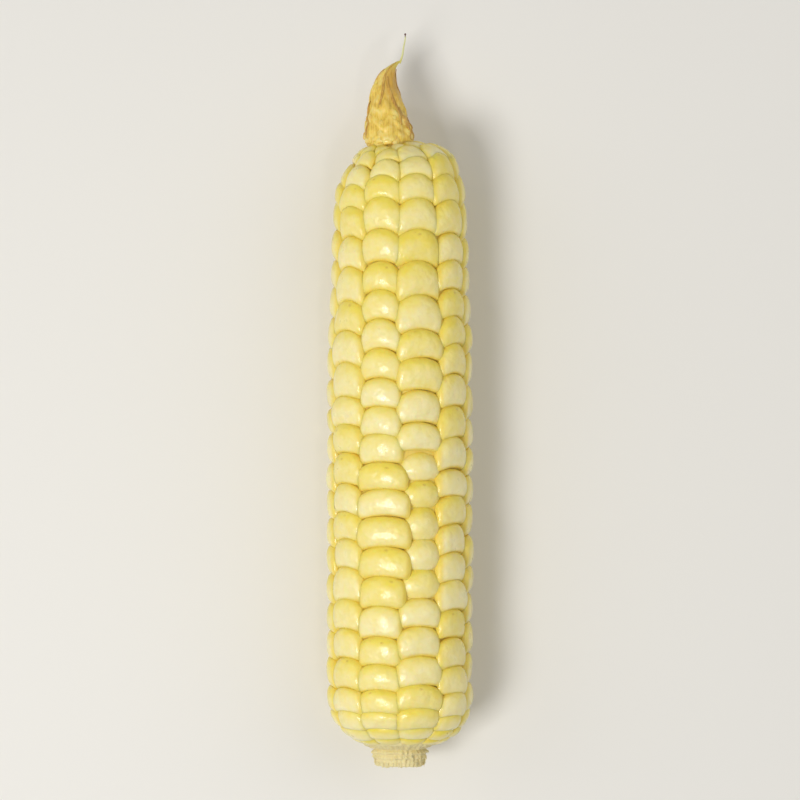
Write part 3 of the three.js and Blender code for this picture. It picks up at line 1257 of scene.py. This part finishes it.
    def build_fibres(self, skin: bpy.types.Material) -> None:
        """Builds the dried fibres that cling to the bare tip, as one piece.

        Args:
            skin: Their finish.
        """
        rng = random.Random(self.fibre_seed)
        skins = []
        for fibre in self.fibres:
            path, outs, halves = [], [], []
            for i in range(self.fibre_steps):
                part = i / (self.fibre_steps - 1)
                share = fibre.first + (fibre.last - fibre.first) * part
                waver = 5 * math.sin(5 * part + rng.random() * 0.2)
                turn = math.radians(fibre.angle + fibre.drift * part + waver)
                place, out, _ = self.tip_frame(share, turn)
                path.append(place + out * (0.05 + 0.1 * part * part) * MM)
                outs.append(out)
                taper = math.sin(math.pi * min(1.0, 0.12 + 0.86 * part)) ** 0.6
                halves.append((fibre.wide * (0.12 + 0.88 * taper), self.fibre_thick * (0.3 + 0.7 * taper)))
            skins.append(sweep(path, outs, halves))
        finish_piece(mesh_object("tip_fibres", *joined(skins)), skin, "ear")


# ---------------------------------------------------------------- silk and stalk


@dataclass
class SilkStrand:
    """The strand of dry silk that the tip ends in, with a brown bead at its end."""

    thick: float = 0.46 * MM
    thin: float = 0.24 * MM
    bead: float = 0.5 * MM
    bead_share: float = 0.93
    end: float = 0.02 * MM
    kink: float = 0.08 * MM
    seat: float = 0.7 * MM
    end_gap: float = 0.03 * MM
    rings: int = 60
    sides: int = 12

    def build(self, skin: bpy.types.Material) -> None:
        """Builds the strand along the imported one, with its foot in the tip's end.

        Args:
            skin: Its finish.
        """
        low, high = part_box("silk_strand")
        reach = self.bead / 2
        foot = low.y - self.seat
        path, halves = [], []
        for ring in range(self.rings):
            share = ring / (self.rings - 1)
            kink = self.kink * math.sin(9 * share) * math.sin(math.pi * share)
            x = low.x + reach + (high.x - low.x - 2 * reach) * share * (2 - share) + kink
            y = foot + (high.y - self.end_gap - foot) * share
            path.append(Vector((x, y, (low.z + high.z) / 2)))
            half = (self.thick + (self.thin - self.thick) * share) / 2
            beaded = (share - self.bead_share) / (1 - self.bead_share)
            if beaded > 0:
                half = max(half * (1 - beaded), reach * math.sin(math.pi * beaded), self.end)
            halves.append((half, half))
        points, faces = sweep(path, [Vector((0, 0, 1))] * self.rings, halves, self.sides)
        piece = mesh_object("silk_hair", points, faces)
        store(piece.data, "share", [i // self.sides / (self.rings - 1) for i in range(len(points))])
        finish_piece(piece, skin, "silk_strand")


@dataclass
class StalkStub:
    """The stub of stalk: a snapped, fibrous shank below the scars of the husk leaves.

    Each scar is a share of the stub's length and a height, and each ring of the collar that
    flares over the ear's butt is a radius and how far it lies beyond the stub.
    """

    radius: float = 5.15 * MM
    scars: tuple[tuple[float, float], ...] = ((0.28, 0.35 * MM), (0.52, 0.75 * MM), (0.8, 1.05 * MM))
    scar_width: float = 0.09
    scar_slope: float = 1.9
    ridges: int = 34
    ridge_height: float = 0.14 * MM
    ragged: float = 0.55 * MM
    bevel: float = 0.2 * MM
    hollow: float = 0.8 * MM
    torn_grain: tuple[float, float] = (1.3 * MM, 0.45 * MM)
    collar: tuple[tuple[float, float], ...] = (
        (6.0 * MM, 0.2 * MM),
        (6.5 * MM, 0.35 * MM),
        (6.7 * MM, 0.75 * MM),
        (7.2 * MM, 0.8 * MM),
        (7.7 * MM, 1.0 * MM),
        (8.0 * MM, 1.5 * MM),
        (8.3 * MM, 2.6 * MM),
        (5.0 * MM, 4.0 * MM),
    )
    shreds: int = 26
    shred_lengths: tuple[float, float] = (0.6 * MM, 2.2 * MM)
    shred_widths: tuple[float, float] = (0.12 * MM, 0.4 * MM)
    shred_thick: float = 0.07 * MM
    shred_steps: int = 10
    shred_sides: int = 6
    shred_seed: int = 4
    shred_reach: float = 6.2 * MM
    sides: int = 204
    rings: int = 60
    face_rings: int = 24

    def __post_init__(self) -> None:
        """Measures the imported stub."""
        self.low, self.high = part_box("shank_stub")
        self.axis = Vector(((self.low.x + self.high.x) / 2, 0, (self.low.z + self.high.z) / 2))
        self.length = self.high.y - self.low.y

    def side_radius(self, share: float, angle: float) -> float:
        """Finds the stub's radius, with its ridges and scars.

        Args:
            share: Share of the stub's length, from the snapped face.
            angle: About its axis.

        Returns:
            The radius.
        """
        around = outward(angle)
        radius = self.radius * (1 + 0.02 * noise.noise(around * 1.5))
        ridge = math.cos(self.ridges * angle + 2 * noise.noise(around * 2))
        radius += self.ridge_height * ridge * (1 - share)
        for place, height in self.scars:
            shift = 0.05 * noise.noise(around * 2.5 + Vector((0, place * 40, 0)))
            torn = 0.65 + 0.6 * noise.noise(around * 9 + Vector((0, place * 90, 0)))
            across = (share - place - shift) / self.scar_width
            slope = 1 if across < 0 else self.scar_slope
            radius += height * torn * math.exp(-((across / slope) ** 2))
        return radius

    def edge(self, angle: float) -> float:
        """Finds where the snapped edge stands.

        Args:
            angle: About the axis.

        Returns:
            Its place along Y.
        """
        around = outward(angle)
        jagged = 0.6 + 0.5 * noise.noise(around * 2.2) + 0.35 * noise.noise(around * 9)
        return self.low.y + self.ragged * jagged

    def place(self, radius: float, y: float, angle: float, limit: float) -> Vector:
        """Places a vertex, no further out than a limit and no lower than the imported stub.

        Args:
            radius: Its distance from the axis.
            y: Its place along Y.
            angle: About the axis.
            limit: The most that the radius may be.

        Returns:
            The vertex.
        """
        radius = min(radius, limit)
        return self.axis + Vector((radius * math.sin(angle), max(y, self.low.y), radius * math.cos(angle)))

    def build(self, skin: bpy.types.Material) -> None:
        """Builds the stub as one closed skin, with its torn face, side and collar, and shreds.

        Args:
            skin: Its finish.
        """
        points = []
        turns = full_turn(self.sides)
        half = (self.high.x - self.low.x) / 2
        coarse, fine = self.torn_grain
        for ring in range(1, self.face_rings):
            share = ring / self.face_rings
            for angle in turns:
                reach = share * (self.side_radius(0.0, angle) - self.bevel)
                spot = Vector((reach * math.sin(angle), 3 * MM, reach * math.cos(angle)))
                rough = 0.55 + 0.45 * noise.noise(spot / coarse) + 0.25 * noise.noise(spot / fine)
                back = (self.edge(angle) - self.low.y) * share**2 + rough * self.hollow * (1 - share**6)
                points.append(self.place(reach, self.low.y + back, angle, half))
        for ring in range(self.rings + 1):
            share = ring / self.rings
            bevel = self.bevel * max(0.0, 1 - share * 20)
            for angle in turns:
                start = self.edge(angle)
                y = start + (self.high.y - start) * share
                points.append(self.place(self.side_radius(share, angle) - bevel, y, angle, half))
        flare = max(reach for reach, _ in self.collar)
        for reach, beyond in self.collar:
            for angle in turns:
                around = Vector((math.sin(angle), reach / (9 * MM), math.cos(angle)))
                uneven = 1 + 0.05 * noise.noise(around * 3) + 0.025 * noise.noise(around * 11)
                creased = 0.28 * noise.noise(around * 5) + 0.12 * math.cos(self.ridges * angle + reach / MM)
                points.append(self.place(reach * uneven, self.high.y + beyond + creased * MM, angle, flare))
        faces = ring_faces(self.rings + self.face_rings + len(self.collar), self.sides)
        piece = mesh_object("stalk", *joined([(points, faces), *self.torn_shreds()]))
        finish_piece(piece, skin, "shank_stub")

    def torn_shreds(self) -> list[tuple[list, list]]:
        """Makes the shreds of husk left on the scars, which lie back along the stub.

        Returns:
            A closed skin for each shred.
        """
        rng = random.Random(self.shred_seed)
        skins = []
        for k in range(self.shreds):
            angle = math.tau * (k + rng.uniform(-0.4, 0.4)) / self.shreds
            share = rng.choice(self.scars)[0] + rng.uniform(0.0, 0.06)
            long = rng.uniform(*self.shred_lengths)
            wide = rng.uniform(*self.shred_widths)
            path, outs, halves = [], [], []
            for i in range(self.shred_steps):
                part = i / (self.shred_steps - 1)
                here = share - part * long / self.length
                if here * self.length < 0.1 * MM:
                    break
                turn = angle + 0.08 * part * math.sin(7 * k)
                out = outward(turn)
                lift = self.side_radius(max(0.0, here), turn) + (0.02 + 0.28 * part * part) * MM
                foot = Vector((0, self.low.y + here * self.length, 0))
                path.append(self.axis + out * min(lift, self.shred_reach) + foot)
                outs.append(out)
                halves.append((wide * (1 - part) ** 0.6 + 0.02 * MM, self.shred_thick * (1 - 0.6 * part)))
            if len(path) > 3:
                skins.append(sweep(path, outs, halves, self.shred_sides))
        return skins


# ---------------------------------------------------------------- the studio


@dataclass(frozen=True)
class SoftLight:
    """A square soft light that faces the middle of the object."""

    name: str
    place: tuple[float, float, float]
    side: float
    watts: float

    def hang(self) -> None:
        """Hangs the light in the scene."""
        data = bpy.data.lights.new(self.name, "AREA")
        data.shape, data.size, data.energy = "SQUARE", self.side, self.watts
        lamp = bpy.data.objects.new(self.name, data)
        lamp.location = self.place
        lamp.rotation_euler = Vector(self.place).to_track_quat("Z", "Y").to_euler()
        bpy.context.scene.collection.objects.link(lamp)


@dataclass
class Studio:
    """The floor, the soft lights and the camera that looks straight down."""

    floor_size: float = 4.0
    camera_height: float = 0.9
    margin: float = 1.09
    sensor: float = 36.0
    white: tuple[float, float, float, float] = (1, 1, 1, 1)
    daylight: float = 0.26
    lights: tuple[SoftLight, ...] = (
        SoftLight("key", (-0.3, -0.22, 0.7), 0.26, 3.3),
        SoftLight("fill", (0.5, 0.3, 0.6), 0.9, 2.0),
        SoftLight("side", (-0.7, 0.25, 0.4), 0.7, 1.2),
        SoftLight("glint", (0.1, -0.3, 0.8), 0.08, 0.35),
    )

    def build(self, low: Vector, high: Vector, board: bpy.types.Material) -> None:
        """Builds the studio round the object's box.

        Args:
            low: The box's lowest corner.
            high: The box's highest corner.
            board: The floor's finish.
        """
        half = self.floor_size / 2
        corners = [(-half, -half, 0), (half, -half, 0), (half, half, 0), (-half, half, 0)]
        floor = mesh_object("floor", corners, [(0, 1, 2, 3)])
        floor.data.materials.append(board)
        floor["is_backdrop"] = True

        centre = (low + high) / 2
        data = bpy.data.cameras.new("camera")
        data.sensor_width = self.sensor
        data.lens = self.sensor * (self.camera_height - centre.z) / ((high.y - low.y) * self.margin)
        camera = bpy.data.objects.new("camera", data)
        camera.location = (centre.x, centre.y, self.camera_height)
        scene = bpy.context.scene
        scene.collection.objects.link(camera)
        scene.camera = camera

        for light in self.lights:
            light.hang()
        scene.world = bpy.data.worlds.new("studio")
        scene.world.use_nodes = True
        background = scene.world.node_tree.nodes["Background"].inputs
        background["Color"].default_value = self.white
        background["Strength"].default_value = self.daylight
        scene.view_settings.view_transform = "Standard"


def main() -> None:
    """Builds the corn piece by piece, then the studio."""
    logging.basicConfig(level=logging.INFO, format="%(message)s")
    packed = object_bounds()
    ear = EarForm()
    scatter = ScatterTree()
    kernels, cob = KernelRows(ear), Cob(ear)
    kernels.build(scatter, KernelSkin().make())
    cob.build(DriedTissue().make())
    # Its last colour is the painted shade in the seams between kernels.
    dwarfed = KernelSkin("dwarfed_corn_kernel", "F1DB88", "E6C551", "D9AE45")
    cob.build_nubbins(scatter, kernels.form(Kernel.BEAD), dwarfed.make())
    floret = DriedTissue("withered_floret", "F8E69A", "F0D06A", "CFA044", 0.5 * MM, 1.5 * MM)
    cob.build_florets(scatter, floret.make())
    fibre = DriedTissue("dried_fibre", "DDB75C", "C99A42", "A27530", 0.2 * MM, 4 * MM)
    cob.build_fibres(fibre.make())
    SilkStrand().build(SilkFibre().make())
    StalkStub().build(SnappedStalk(axis=(ear.axis_x, ear.axis_z)).make())
    Studio().build(*packed, PaintedBoard().make())


if __name__ == "__main__":
    main()
